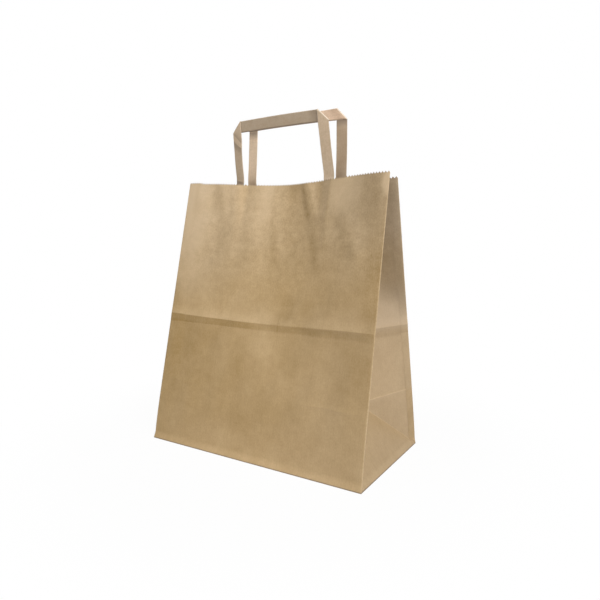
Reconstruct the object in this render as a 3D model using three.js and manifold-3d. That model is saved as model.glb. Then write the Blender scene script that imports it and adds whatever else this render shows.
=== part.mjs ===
// Paper carrier bag standing on its block bottom: one kraft sheet folded into two panels,
// two side gussets and a flapped base, with a pinked mouth, two folded-tape handles and
// the patches that glue them inside the mouth.
// Millimetres, +Z up. The base stands on z = 0 and the front panel faces -Y.

import * as THREE from 'three';
import Module from 'manifold-3d';

// The folded sheet
const PANEL_WIDTH = 260;
const PANEL_HEIGHT = 295; // along the panel's slant, from base crease to tooth tips
const GUSSET_DEPTH = 140;
const PAPER = 0.14;
const BASE_FLAP_LAP = 24; // how far the two long base flaps lap at the centre line
const GUSSET_LEAN = 33; // degrees that the gusset's foot triangle leans in from upright

// Where the edges of the mouth stand along Y
const MOUTH_FRONT_LEFT = 3;
const MOUTH_FRONT_RIGHT = -18.5;
const MOUTH_BOW = 21.5; // the middle of both panels is pushed back this far
const MOUTH_GAP_LEFT = 8;
const MOUTH_GAP_RIGHT = 18;
const MOUTH_GAP_SWELL = 12; // extra gap in the middle

// The slack in the middle of each panel: how far it bellies out, and how far its mouth sags
const FRONT_SLACK = { belly: 5, sag: 0 };
const BACK_SLACK = { belly: 11, sag: 11 };

// Soft ridge round the bag, the print of the base that lay folded up against it
const RIDGE_ABOVE_BASE_FOLD = 4;
const RIDGE_REACH = 10;
const RIDGE_RISE = 0.8;

// Pinked edge of the mouth
const TOOTH_PITCH = 10 / 3;
const TOOTH_DEPTH = 1.8;

// Handles: a flat paper tape, folded at 45 degrees at both top corners
const TAPE_WIDTH = 12;
const TAPE_THICKNESS = 0.8;
const LEG_SPACING = 117; // between the leg centres at the mouth
const LEG_GLUED = 44; // leg length below the mouth
const FRONT_HANDLE = { shift: -3, rise: 68.5, leftDrop: 2, narrowing: 5.5, sideways: -1.5, lean: -6 };
const BACK_HANDLE = { shift: 1, rise: 76, leftDrop: 0, narrowing: 0, sideways: -3.5, lean: 4 };

// Patches glued over the handles' legs
const PATCH_MARGIN = 26; // beyond each leg's outer edge
const PATCH_BELOW_MOUTH = 4;
const PATCH_BELOW_LEG = 6;
const PATCH_RAMP = 3; // run in which the patch comes down from a leg to the panel

// Clearance between glued pieces, the lap by which joined shapes fuse, and facet sizes
const GLUE_GAP = 0.3;
const FUSE = 0.02;
const STATION_STEP = 20;
const ROW_STEP = 40;
const MITRE_LIMIT = 2.5; // longest mitre at a sharp fold, in half thicknesses
const GUSSET_COLUMNS = 6;

const KRAFT = new THREE.Color(0.62, 0.47, 0.29);
const HALF_WIDTH = PANEL_WIDTH / 2;
const HALF_DEPTH = GUSSET_DEPTH / 2;
const RIDGE_HEIGHT = GUSSET_DEPTH + RIDGE_ABOVE_BASE_FOLD;
const VALLEY_HEIGHT = PANEL_HEIGHT - TOOTH_DEPTH;
const PATCH_TOP = PANEL_HEIGHT - PATCH_BELOW_MOUTH;
const PATCH_BOTTOM = PANEL_HEIGHT - LEG_GLUED - PATCH_BELOW_LEG;
const BASE_PLIES = 2; // flap plies under the base sheet
const BASE_Z = (BASE_PLIES + 0.5) * PAPER; // middle of the base sheet

const wasm = await Module();
wasm.setup();

// A sheet of triangles with shared corners, wound so that its outer side faces out.
class Sheet {
  constructor() {
    this.points = [];
    this.triangles = [];
    this.known = new Map();
  }

  corner(point) {
    const key = point.toArray().map((value) => Math.round(value * 1e4)).join(' ');
    if (!this.known.has(key)) {
      this.known.set(key, this.points.length);
      this.points.push(point);
    }
    return this.known.get(key);
  }

  triangle(a, b, c) {
    this.triangles.push([this.corner(a), this.corner(b), this.corner(c)]);
  }

  // Fills the band between two rows, each a list of { t, point } with t rising from 0 to 1.
  band(lower, upper) {
    let i = 0;
    let j = 0;
    while (i < lower.length - 1 || j < upper.length - 1) {
      const nextLower = i < lower.length - 1 ? lower[i + 1].t : Infinity;
      const nextUpper = j < upper.length - 1 ? upper[j + 1].t : Infinity;
      if (nextLower <= nextUpper) {
        this.triangle(lower[i].point, lower[i + 1].point, upper[j].point);
        i += 1;
      } else {
        this.triangle(lower[i].point, upper[j + 1].point, upper[j].point);
        j += 1;
      }
    }
  }

  bands(rows) {
    for (let i = 0; i + 1 < rows.length; i += 1) {
      this.band(rows[i], rows[i + 1]);
    }
  }

  faceNormal([a, b, c]) {
    const side = this.points[b].clone().sub(this.points[a]);
    const other = this.points[c].clone().sub(this.points[a]);
    return side.cross(other).normalize();
  }

  // For each corner, the step that moves every facet round it out by the distance given.
  cornerSteps(distance) {
    const sums = this.points.map(() => ({ xx: 0, xy: 0, xz: 0, yy: 0, yz: 0, zz: 0, n: new THREE.Vector3() }));
    for (const triangle of this.triangles) {
      const n = this.faceNormal(triangle);
      for (const corner of triangle) {
        const sum = sums[corner];
        sum.xx += n.x * n.x;
        sum.xy += n.x * n.y;
        sum.xz += n.x * n.z;
        sum.yy += n.y * n.y;
        sum.yz += n.y * n.z;
        sum.zz += n.z * n.z;
        sum.n.add(n);
      }
    }
    const soft = 1e-3; // keeps flat stretches solvable
    return sums.map(({ xx, xy, xz, yy, yz, zz, n }) => {
      const matrix = new THREE.Matrix3(xx + soft, xy, xz, xy, yy + soft, yz, xz, yz, zz + soft);
      return n.applyMatrix3(matrix.invert()).clampLength(0, MITRE_LIMIT).multiplyScalar(distance);
    });
  }

  // The sheet as a closed solid of the thickness given, half of it to each side.
  thicken(thickness) {
    const count = this.points.length;
    const steps = this.cornerSteps(thickness / 2);
    const outer = this.points.map((point, i) => point.clone().add(steps[i]));
    const inner = this.points.map((point, i) => point.clone().sub(steps[i]));
    const faces = [];
    const rim = new Map();
    for (const [a, b, c] of this.triangles) {
      faces.push([a, b, c], [count + a, count + c, count + b]);
      for (const [from, to] of [[a, b], [b, c], [c, a]]) {
        if (!rim.delete(`${to} ${from}`)) {
          rim.set(`${from} ${to}`, [from, to]);
        }
      }
    }
    for (const [from, to] of rim.values()) {
      faces.push([to, from, count + from], [to, count + from, count + to]);
    }
    const vertProperties = new Float32Array([...outer, ...inner].flatMap((point) => point.toArray()));
    const triVerts = new Uint32Array(faces.flat());
    return new wasm.Manifold(new wasm.Mesh({ numProp: 3, vertProperties, triVerts }));
  }
}

function toGeometry(solid) {
  const mesh = solid.getMesh();
  const geometry = new THREE.BufferGeometry();
  geometry.setAttribute('position', new THREE.BufferAttribute(mesh.vertProperties, 3));
  geometry.setIndex(new THREE.BufferAttribute(mesh.triVerts, 1));
  geometry.computeVertexNormals();
  return geometry;
}

function piece(name, solid) {
  const material = new THREE.MeshStandardMaterial({ color: KRAFT, roughness: 0.85, metalness: 0 });
  const mesh = new THREE.Mesh(toGeometry(solid), material);
  mesh.name = name;
  return mesh;
}

// Straight steps from one value to another, none longer than the step given.
function divided(from, to, step) {
  const count = Math.max(1, Math.ceil((to - from) / step));
  return Array.from({ length: count }, (_, i) => from + ((to - from) * i) / count);
}

// The X of each upright fold or edge that a panel's facets meet at.
function panelStations(handle) {
  const legOuter = (LEG_SPACING + TAPE_WIDTH) / 2;
  const legInner = (LEG_SPACING - TAPE_WIDTH) / 2;
  const halves = [legInner - PATCH_RAMP, legInner, legOuter, legOuter + PATCH_RAMP, legOuter + PATCH_MARGIN];
  const marks = [-HALF_WIDTH, HALF_WIDTH];
  for (const half of halves) {
    marks.push(handle.shift - half, handle.shift + half);
  }
  marks.sort((a, b) => a - b);
  const stations = marks.slice(1).flatMap((mark, i) => divided(marks[i], mark, STATION_STEP));
  return [...stations, HALF_WIDTH];
}

// The share of the mouth's bow at X: none at the side edges, all in the middle.
function bowShare(x) {
  return (1 + Math.cos((Math.PI * x) / HALF_WIDTH)) / 2;
}

// The share of a panel's sag at X: none at the side edges, nearly all between them.
function sagShare(x) {
  return 1 - Math.abs(x / HALF_WIDTH) ** 3;
}

function mouthGap(x) {
  const across = (x + HALF_WIDTH) / PANEL_WIDTH;
  return THREE.MathUtils.lerp(MOUTH_GAP_LEFT, MOUTH_GAP_RIGHT, across) + MOUTH_GAP_SWELL * bowShare(x);
}

function frontMouth(x) {
  const across = (x + HALF_WIDTH) / PANEL_WIDTH;
  return THREE.MathUtils.lerp(MOUTH_FRONT_LEFT, MOUTH_FRONT_RIGHT, across) + MOUTH_BOW * bowShare(x);
}

function backMouth(x) {
  return frontMouth(x) + mouthGap(x);
}

// One big panel. inward is the sign of Y that points into the bag.
class Panel {
  constructor(inward, mouthCurve, slack, handle) {
    this.inward = inward;
    this.baseY = -inward * HALF_DEPTH;
    this.slack = slack;
    this.handle = handle;
    this.stations = panelStations(handle);
    this.mouthCurve = mouthCurve;
  }

  // A curve along X, taken straight between the stations so that each facet is one strip.
  faceted(curve, x) {
    const found = this.stations.findIndex((station) => station > x);
    const right = found < 1 ? this.stations.length - 1 : found;
    const [low, high] = [this.stations[right - 1], this.stations[right]];
    return THREE.MathUtils.lerp(curve(low), curve(high), (x - low) / (high - low));
  }

  mouthY(x) {
    return this.faceted(this.mouthCurve, x);
  }

  // The point at X and at a height measured up the panel's slant.
  point(x, height) {
    const run = this.mouthY(x) - this.baseY;
    const middle = this.faceted(bowShare, x);
    const sag = this.slack.sag * this.faceted(sagShare, x);
    const rise = Math.sqrt(PANEL_HEIGHT ** 2 - run ** 2) - sag;
    const share = height / PANEL_HEIGHT;
    const out = this.slack.belly * middle * Math.sin(Math.PI * share) + ridgeRise(height);
    return new THREE.Vector3(x, this.baseY + run * share - this.inward * out, BASE_Z + rise * share);
  }

  // The same point moved into the bag, square to the facet between two stations.
  insidePoint(x, height, [low, high], offset) {
    const across = this.point(high, height).sub(this.point(low, height));
    const up = this.point(low, height).sub(this.point(low, height - 1));
    const inside = across.cross(up).normalize();
    inside.multiplyScalar(Math.sign(inside.y) * this.inward * offset);
    return this.point(x, height).add(inside);
  }
}

function ridgeRise(height) {
  return RIDGE_RISE * Math.max(0, 1 - Math.abs(height - RIDGE_HEIGHT) / RIDGE_REACH);
}

// Heights of the rows of corners above the gussets' feet, up to just under the teeth
const ROW_HEIGHTS = [
  ...divided(HALF_DEPTH, RIDGE_HEIGHT - RIDGE_REACH, ROW_STEP),
  RIDGE_HEIGHT - RIDGE_REACH,
  RIDGE_HEIGHT,
  ...divided(RIDGE_HEIGHT + RIDGE_REACH, PATCH_BOTTOM, ROW_STEP),
  PATCH_BOTTOM,
  PATCH_TOP,
];

// The mouth's valleys, then the row of teeth on them. pointAt takes a share and a height.
function addTeeth(sheet, lowerRow, pointAt, length) {
  const count = Math.round(length / TOOTH_PITCH);
  const valleys = [];
  for (let i = 0; i <= count; i += 1) {
    valleys.push({ t: i / count, point: pointAt(i / count, VALLEY_HEIGHT) });
  }
  sheet.band(lowerRow, valleys);
  for (let i = 0; i < count; i += 1) {
    const tip = pointAt((i + 0.5) / count, PANEL_HEIGHT);
    sheet.triangle(valleys[i].point, valleys[i + 1].point, tip);
  }
}

// Rows run left to right as seen from outside, so the back panel runs from +X to -X.
function addPanel(sheet, panel) {
  const xAt = (t) => panel.inward * (PANEL_WIDTH * t - HALF_WIDTH);
  const shares = panel.stations.map((x) => (panel.inward * x + HALF_WIDTH) / PANEL_WIDTH).sort((a, b) => a - b);
  const rowAt = (height) => shares.map((t) => ({ t, point: panel.point(xAt(t), height) }));
  const rows = [0, ...ROW_HEIGHTS].map(rowAt);
  sheet.bands(rows);
  addTeeth(sheet, rows.at(-1), (t, height) => panel.point(xAt(t), height), PANEL_WIDTH);
}

// One side gusset; side is the sign of X. Its two halves meet at a centre crease that is
// folded in, and its foot is a triangle between the base corners and that crease's foot.
class Gusset {
  constructor(side, front, back) {
    this.side = side;
    const lean = THREE.MathUtils.degToRad(GUSSET_LEAN);
    const footIn = HALF_WIDTH - HALF_DEPTH * Math.sin(lean);
    this.foot = new THREE.Vector3(side * footIn, 0, BASE_Z + HALF_DEPTH * Math.cos(lean));
    const cornerGap = mouthGap(side * HALF_WIDTH);
    this.reach = Math.sqrt(HALF_DEPTH ** 2 - (cornerGap / 2) ** 2);
    const topX = side * (HALF_WIDTH - this.reach);
    const topY = (front.mouthY(topX) + back.mouthY(topX)) / 2;
    const length = PANEL_HEIGHT - HALF_DEPTH;
    const topRise = Math.sqrt(length ** 2 - (topX - this.foot.x) ** 2 - topY ** 2);
    this.top = new THREE.Vector3(topX, topY, this.foot.z + topRise);
  }

  share(height) {
    return (height - HALF_DEPTH) / (PANEL_HEIGHT - HALF_DEPTH);
  }

  crease(height) {
    const point = this.foot.clone().lerp(this.top, this.share(height));
    point.x += this.side * ridgeRise(height);
    return point;
  }

  // A point on the half next to the panel, at a share in from the side edge to the crease.
  // The half bends with the panel beside it, more towards the mouth.
  point(panel, into, height) {
    const edgeX = this.side * HALF_WIDTH;
    const point = panel.point(edgeX, height).lerp(this.crease(height), into);
    const x = this.side * (HALF_WIDTH - this.reach * into);
    const bent = panel.mouthY(x) + (this.top.y - panel.mouthY(this.top.x)) * into;
    const straight = THREE.MathUtils.lerp(panel.mouthY(edgeX), this.top.y, into);
    point.y += (bent - straight) * this.share(height);
    return point;
  }
}

function addGusset(sheet, gusset, front, back) {
  const [first, second] = gusset.side > 0 ? [front, back] : [back, front];
  const edgeX = gusset.side * HALF_WIDTH;
  const halves = [
    { panel: first, intoAt: (t) => t },
    { panel: second, intoAt: (t) => 1 - t },
  ];
  for (const { panel, intoAt } of halves) {
    const shares = Array.from({ length: GUSSET_COLUMNS + 1 }, (_, i) => i / GUSSET_COLUMNS);
    const pointAt = (t, height) => gusset.point(panel, intoAt(t), height);
    const rowAt = (height) => shares.map((t) => ({ t, point: pointAt(t, height) }));
    const rows = ROW_HEIGHTS.map(rowAt);
    sheet.band([{ t: 0, point: panel.point(edgeX, 0) }], rows[0]);
    sheet.bands(rows);
    addTeeth(sheet, rows.at(-1), pointAt, HALF_DEPTH);
  }
  sheet.triangle(first.point(edgeX, 0), second.point(edgeX, 0), gusset.foot);
}

function addBase(sheet, front, back) {
  const rowOf = (panel) => panel.stations.map((x) => ({
    t: (x + HALF_WIDTH) / PANEL_WIDTH,
    point: panel.point(x, 0),
  }));
  sheet.band(rowOf(back), rowOf(front));
}

// One long base flap under the base sheet, with its ends folded at 45 degrees.
function baseFlap(panel, ply) {
  const depth = HALF_DEPTH + BASE_FLAP_LAP / 2;
  const freeHalf = HALF_WIDTH - depth;
  const freeY = panel.baseY + panel.inward * depth;
  const outline = new THREE.Shape();
  outline.moveTo(-HALF_WIDTH, panel.baseY);
  outline.lineTo(HALF_WIDTH, panel.baseY);
  outline.lineTo(freeHalf, freeY);
  outline.lineTo(-freeHalf, freeY);
  const geometry = new THREE.ExtrudeGeometry(outline, { depth: PAPER + FUSE, bevelEnabled: false });
  geometry.translate(0, 0, ply * PAPER);
  return toSolid(geometry);
}

// A closed three.js geometry as a solid, with corners at the same place shared.
function toSolid(geometry) {
  const sheet = new Sheet();
  const position = geometry.getAttribute('position');
  for (let i = 0; i < position.count; i += 3) {
    const corners = [0, 1, 2].map((k) => new THREE.Vector3().fromBufferAttribute(position, i + k));
    sheet.triangle(...corners);
  }
  const vertProperties = new Float32Array(sheet.points.flatMap((point) => point.toArray()));
  const triVerts = new Uint32Array(sheet.triangles.flat());
  return new wasm.Manifold(new wasm.Mesh({ numProp: 3, vertProperties, triVerts }));
}

function bagBody(front, back) {
  const sheet = new Sheet();
  addPanel(sheet, front);
  addPanel(sheet, back);
  for (const side of [1, -1]) {
    addGusset(sheet, new Gusset(side, front, back), front, back);
  }
  addBase(sheet, front, back);
  return sheet.thicken(PAPER).add(baseFlap(front, 1)).add(baseFlap(back, 0));
}

const LEG_OFFSET = PAPER / 2 + GLUE_GAP + TAPE_THICKNESS / 2;

function quadRow(left, right) {
  return [{ t: 0, point: left }, { t: 1, point: right }];
}

// One handle: two legs glued inside the panel, each folded over the strip at a mitred corner.
function handleSolid(panel) {
  const { shift, rise, leftDrop, narrowing, sideways, lean } = panel.handle;
  const angle = THREE.MathUtils.degToRad(lean);
  const half = TAPE_WIDTH / 2;
  const row = (left, right) => (panel.inward > 0 ? quadRow(left, right) : quadRow(right, left));
  const feet = {};
  const tops = {};
  for (const side of [-1, 1]) {
    const x = shift + (side * LEG_SPACING) / 2;
    const span = [x - half, x + half];
    const at = (edge, height) => panel.insidePoint(x + edge, height, span, LEG_OFFSET);
    feet[side] = [-LEG_GLUED, PAPER].map((above) => {
      const height = PANEL_HEIGHT + above;
      return row(at(-half, height), at(half, height));
    });
    const reach = rise - (side < 0 ? leftDrop : 0);
    const lift = new THREE.Vector3(0, Math.sin(angle), Math.cos(angle)).multiplyScalar(reach);
    lift.x = sideways - (side * narrowing) / 2;
    tops[side] = at(0, PANEL_HEIGHT).add(lift);
  }

  const along = tops[1].clone().sub(tops[-1]).normalize();
  const up = new THREE.Vector3(0, Math.sin(angle), Math.cos(angle));
  up.addScaledVector(along, -up.dot(along)).normalize();
  const facing = along.clone().cross(up); // towards -Y
  const mitre = (side) => {
    const innerTop = tops[side].clone().addScaledVector(along, -side * half);
    const outerFoot = tops[side].clone().addScaledVector(along, side * half).addScaledVector(up, -TAPE_WIDTH);
    return { innerTop, outerFoot };
  };

  const solids = [-1, 1].map((side) => {
    const { innerTop, outerFoot } = mitre(side);
    const top = side < 0 ? row(outerFoot, innerTop) : row(innerTop, outerFoot);
    const leg = new Sheet();
    leg.bands([...feet[side], top]);
    return leg.thicken(TAPE_THICKNESS);
  });

  const strip = new Sheet();
  const behind = -panel.inward * (TAPE_THICKNESS - FUSE);
  const place = (point) => point.clone().addScaledVector(facing, behind);
  const [left, right] = [mitre(-1), mitre(1)];
  const lower = quadRow(place(left.outerFoot), place(right.outerFoot));
  const upper = quadRow(place(left.innerTop), place(right.innerTop));
  strip.band(lower, upper);
  return solids[0].add(solids[1]).add(strip.thicken(TAPE_THICKNESS));
}

// The patch over a handle's legs: it follows the panel and steps over each leg.
function patchSolid(panel) {
  const legOuter = (LEG_SPACING + TAPE_WIDTH) / 2;
  const legInner = (LEG_SPACING - TAPE_WIDTH) / 2;
  const { shift } = panel.handle;
  const onPanel = PAPER + GLUE_GAP;
  const onLeg = LEG_OFFSET + TAPE_THICKNESS / 2 + GLUE_GAP + PAPER / 2;
  const inPatch = panel.stations.filter((x) => Math.abs(x - shift) < legOuter + PATCH_MARGIN + FUSE);
  inPatch.sort((a, b) => panel.inward * (a - b));
  const offsetAt = (x) => {
    const out = Math.abs(x - shift);
    return out > legInner - FUSE && out < legOuter + FUSE ? onLeg : onPanel;
  };
  const rowAt = (height) => inPatch.map((x, i) => {
    const span = [inPatch[Math.max(0, i - 1)], inPatch[Math.min(inPatch.length - 1, i + 1)]];
    return { t: i / (inPatch.length - 1), point: panel.insidePoint(x, height, span, offsetAt(x)) };
  });
  const sheet = new Sheet();
  sheet.band(rowAt(PATCH_BOTTOM), rowAt(PATCH_TOP));
  return sheet.thicken(PAPER);
}

const front = new Panel(1, frontMouth, FRONT_SLACK, FRONT_HANDLE);
const back = new Panel(-1, backMouth, BACK_SLACK, BACK_HANDLE);

const bag = new THREE.Group();
bag.name = 'paper_carrier_bag';
bag.add(piece('bag_body', bagBody(front, back)));
for (const [name, panel] of [['front', front], ['back', back]]) {
  const handle = new THREE.Group();
  handle.add(piece(`${name}_handle`, handleSolid(panel)));
  handle.add(piece(`${name}_handle_patch`, patchSolid(panel)));
  bag.add(handle);
}

export default bag;
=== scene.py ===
"""Paper carrier bag of brown kraft, standing open on its block bottom.

One sheet is folded into panels, gussets and base from its flat coordinates: "along" runs round the
bag and "height" runs up from the base fold. All lengths are in millimetres until a mesh is made.
"""
import math

import bpy
import numpy as np
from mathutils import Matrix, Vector


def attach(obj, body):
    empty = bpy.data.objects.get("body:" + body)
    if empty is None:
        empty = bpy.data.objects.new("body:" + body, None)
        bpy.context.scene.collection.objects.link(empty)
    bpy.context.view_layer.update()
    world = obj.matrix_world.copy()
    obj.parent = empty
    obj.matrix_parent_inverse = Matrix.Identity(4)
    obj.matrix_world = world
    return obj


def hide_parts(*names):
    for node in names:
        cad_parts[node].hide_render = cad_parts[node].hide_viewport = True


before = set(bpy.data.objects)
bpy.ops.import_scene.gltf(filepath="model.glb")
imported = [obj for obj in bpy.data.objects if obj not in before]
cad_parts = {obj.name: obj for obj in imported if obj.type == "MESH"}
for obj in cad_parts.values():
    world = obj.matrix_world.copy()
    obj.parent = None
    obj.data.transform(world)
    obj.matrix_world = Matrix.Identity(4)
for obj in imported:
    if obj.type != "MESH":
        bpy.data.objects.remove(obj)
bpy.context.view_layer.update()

MILLIMETRE = 0.001

# The folded sheet
PANEL_WIDTH = 260.0
PANEL_HEIGHT = 295.0
GUSSET_DEPTH = 140.0
HALF_WIDTH = PANEL_WIDTH / 2
HALF_DEPTH = GUSSET_DEPTH / 2
PAPER = 0.14
BASE_Z = 2.5 * PAPER
GUSSET_LEAN = math.radians(33)
BASE_FLAP_DEPTH = 82.0

# Where the edges of the mouth stand along Y, and the slack of the two panels
MOUTH_FRONT_LEFT = 3.0
MOUTH_FRONT_RIGHT = -18.5
MOUTH_BOW = 21.5
MOUTH_GAP_LEFT = 8.0
MOUTH_GAP_RIGHT = 18.0
MOUTH_GAP_SWELL = 12.0
FRONT_SLACK = {"belly": 5.0, "sag": 0.0, "corner_rise": 1.1, "corner_start": 16.7, "corner_end": 20.0}
BACK_SLACK = {"belly": 11.0, "sag": 11.0, "corner_rise": -2.2, "corner_start": 10.0, "corner_end": 60.0}

# Places along the flat sheet; it starts and ends at the glued lap on the right gusset
LAP_WIDTH = 8.5
LAP_LIFT = 0.2
BACK_START = 400.0
LEFT_GUSSET_START = BACK_START + PANEL_WIDTH
FRONT_START = LEFT_GUSSET_START + GUSSET_DEPTH
RIGHT_GUSSET_START = FRONT_START + PANEL_WIDTH
SHEET_END = RIGHT_GUSSET_START + GUSSET_DEPTH
FRONT_MIDDLE = FRONT_START + HALF_WIDTH
LEFT_CREASE = LEFT_GUSSET_START + HALF_DEPTH
RIGHT_CREASE = RIGHT_GUSSET_START + HALF_DEPTH
FOLDS = (BACK_START, LEFT_GUSSET_START, LEFT_CREASE, FRONT_START, RIGHT_GUSSET_START, RIGHT_CREASE)
FOLD_NEAR = 0.6  # the narrow facet on each side of a fold
NEARLY = 1e-6  # two places of the sheet that differ by less are one place

# Shifts on the flat sheet that set the grain of inner faces, base flaps, patches and handles apart
INNER_FACE = 500.0
FLAP_SHIFT = (2000.0, -400.0)
PATCH_SHIFT = 3000.0
TAPE_TAG = 900.0

# Creases: the print of the folded base, the foot crease and the pinked edge
RIDGE_TOP = 144.0
PRINT_NARROW = 6.4  # height of the print's facet where it is narrowest, at X = PRINT_PLACE
PRINT_WIDE = 8.5  # its height at PRINT_RUN to both sides of that
PRINT_PLACE = 30.0
PRINT_RUN = 160.0
PRINT_TILT = 0.0096  # the front's print rises to the right
RIDGE_RISE = 1.1
RIDGE_FADE = 7.0
FOOT_CREASE = 20 / 3
FOOT_DENT = 1.4
FOOT_FADE = 16.0
TOOTH_PITCH = 10 / 3
TOOTH_DEPTH = 1.8

# Handles and the patches over their legs
TAPE_WIDTH = 12.0
STRIP_START = 120.0  # the strip's place along the tape
STRIP_END = 230.0
FOLD_GAP = 0.8  # between the middles of two folded layers of tape
LEG_SPACING = 117.0
LEG_GLUED = 44.0
LEG_OFFSET = 0.77
FRONT_HANDLE = {
    "shift": -3.0, "rise": 68.5, "left_drop": 2.0, "narrowing": 5.7, "sideways": 0.35, "lean": -6.0,
}
BACK_HANDLE = {
    "shift": 1.0, "rise": 77.3, "left_drop": 3.5, "narrowing": 1.1, "sideways": -3.75, "lean": 4.0,
}
PATCH_HALF = 90.5
PATCH_BOTTOM = 245.0
PATCH_TOP = 291.0
PATCH_RAMP = 3.0
PATCH_ON_PANEL = 0.44
PATCH_ON_LEG = 1.54

# Camera, as fitted to the bag's folds
CAMERA_AT = (341.9, -522.4, 252.7)
CAMERA_AZIMUTH = math.radians(31.461)
CAMERA_ELEVATION = math.radians(8.509)
CAMERA_FOCAL_SHARE = 582.6 / 600


def smooth(value, low, high):
    share = np.clip((value - low) / (high - low), 0, 1)
    return share * share * (3 - 2 * share)


def bump_at(value, centre, width):
    return np.exp(-((value - centre) / width) ** 2)


def bow_share(x):
    return (1 + np.cos(np.pi * x / HALF_WIDTH)) / 2


def sag_share(x):
    return 1 - np.abs(x / HALF_WIDTH) ** 3


def across(x, left, right):
    return left + (right - left) * (x + HALF_WIDTH) / PANEL_WIDTH


def mouth_gap(x):
    return across(x, MOUTH_GAP_LEFT, MOUTH_GAP_RIGHT) + MOUTH_GAP_SWELL * bow_share(x)


def front_mouth(x):
    return across(x, MOUTH_FRONT_LEFT, MOUTH_FRONT_RIGHT) + MOUTH_BOW * bow_share(x)


def back_mouth(x):
    return front_mouth(x) + mouth_gap(x)


def ridge(x, height):
    """The fold print: a facet that faces down, then a soft run back to the panel."""
    aside = (x - PRINT_PLACE) / PRINT_RUN
    depth = PRINT_NARROW + (PRINT_WIDE - PRINT_NARROW) * np.minimum(aside ** 2, 1)
    below = np.clip((height - RIDGE_TOP) / depth + 1, 0, 1)
    above = np.exp(-np.maximum(height - RIDGE_TOP, 0) / RIDGE_FADE)
    return RIDGE_RISE * below * above


def foot_dent(height):
    """The strip over the base fold stands out, up to its own soft crease."""
    below = np.clip(height / FOOT_CREASE, 0, 1)
    above = np.exp(-np.maximum(height - FOOT_CREASE, 0) / FOOT_FADE)
    return -FOOT_DENT * below * above


class Waves:
    """Soft waviness of handled paper, as a few seeded sine waves."""

    def __init__(self, seed, count, shortest, longest, size):
        draw = np.random.default_rng(seed)
        lengths = draw.uniform(shortest, longest, count)
        angles = draw.uniform(0, np.pi, count)
        self.along = 2 * np.pi * np.cos(angles) / lengths
        self.up = 2 * np.pi * np.sin(angles) / lengths
        self.phase = draw.uniform(0, 2 * np.pi, count)
        self.size = size * lengths / longest / math.sqrt(count)

    def __call__(self, along, height):
        total = np.zeros(np.broadcast(along, height).shape)
        for a, u, phase, size in zip(self.along, self.up, self.phase, self.size):
            total = total + size * np.sin(a * along + u * height + phase)
        return total


class Creases:
    """Short sharp creases from handling, seeded and scattered over the sheet."""

    def __init__(self, seed, count):
        draw = np.random.default_rng(seed)
        self.along = draw.uniform(BACK_START, SHEET_END, count)
        self.height = draw.uniform(20, PANEL_HEIGHT, count)
        self.angle = draw.normal(np.pi / 2, 0.6, count)
        self.length = draw.uniform(8, 36, count)
        self.width = draw.uniform(4, 9, count)
        more_above = 0.4 + 0.8 * self.height / PANEL_HEIGHT
        self.size = draw.uniform(0.08, 0.34, count) * draw.choice([-1, 1], count) * more_above

    def __call__(self, along, height):
        total = np.zeros(np.broadcast(along, height).shape)
        for i, angle in enumerate(self.angle):
            right, up = along - self.along[i], height - self.height[i]
            lengthwise = (right * np.cos(angle) + up * np.sin(angle)) / self.length[i]
            crosswise = (up * np.cos(angle) - right * np.sin(angle)) / self.width[i]
            ends = np.clip(1 - lengthwise ** 2, 0, 1)
            total = total + self.size[i] * np.clip(1 - np.abs(crosswise), 0, 1) * ends
        return total


BROAD_WAVES = Waves(11, 9, 70, 190, 1.3)
SMALL_WAVES = Waves(23, 16, 22, 60, 0.5)
HANDLING = Creases(5, 150)


def sheet_waves(along, height):
    """Waviness and creases of handled paper, dying out at the base."""
    soft = BROAD_WAVES(along, height) + SMALL_WAVES(along, height) + HANDLING(along, height)
    return soft * smooth(height, 4, 45)


# Soft pleats under the mouth: place along X, drift to the right per mm down, half width, height, reach down
FRONT_PLEATS = [
    (-97.0, 0.2, 13.0, -1.7, 70.0),
    (-82.0, 0.25, 8.5, 1.2, 50.0),
    (-66.0, 0.15, 6.0, 0.6, 50.0),
    (-50.5, 0.0, 7.5, -1.1, 70.0),
    (-37.0, 0.05, 11.0, 1.6, 80.0),
    (-1.0, 0.0, 18.0, -1.5, 50.0),
    (23.5, 0.45, 8.5, 1.9, 42.0),
    (43.0, 0.2, 7.0, -0.8, 45.0),
    (94.0, 0.0, 21.0, -2.6, 60.0),
]
BACK_PLEATS = [
    (-40.0, 0.05, 10.0, 0.7, 50.0),
    (-8.0, -0.1, 12.0, -0.8, 60.0),
    (34.0, 0.12, 8.0, 0.7, 42.0),
    (84.0, 0.0, 18.0, -0.6, 60.0),
]


class Nick:
    """One sharp crease on a panel, between two spots given as (X, height)."""

    def __init__(self, start, end, half_width, size):
        self.start = np.array(start)
        self.run = np.array(end) - self.start
        self.length = np.hypot(*self.run)
        self.half_width = half_width
        self.size = size

    def __call__(self, x, height):
        right, up = x - self.start[0], height - self.start[1]
        share = (right * self.run[0] + up * self.run[1]) / self.length ** 2
        aside = np.abs(up * self.run[0] - right * self.run[1]) / self.length
        ends = smooth(share, 0.0, 0.2) * (1 - smooth(share, 0.8, 1.0))
        return self.size * np.clip(1 - aside / self.half_width, 0, 1) * ends


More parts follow.
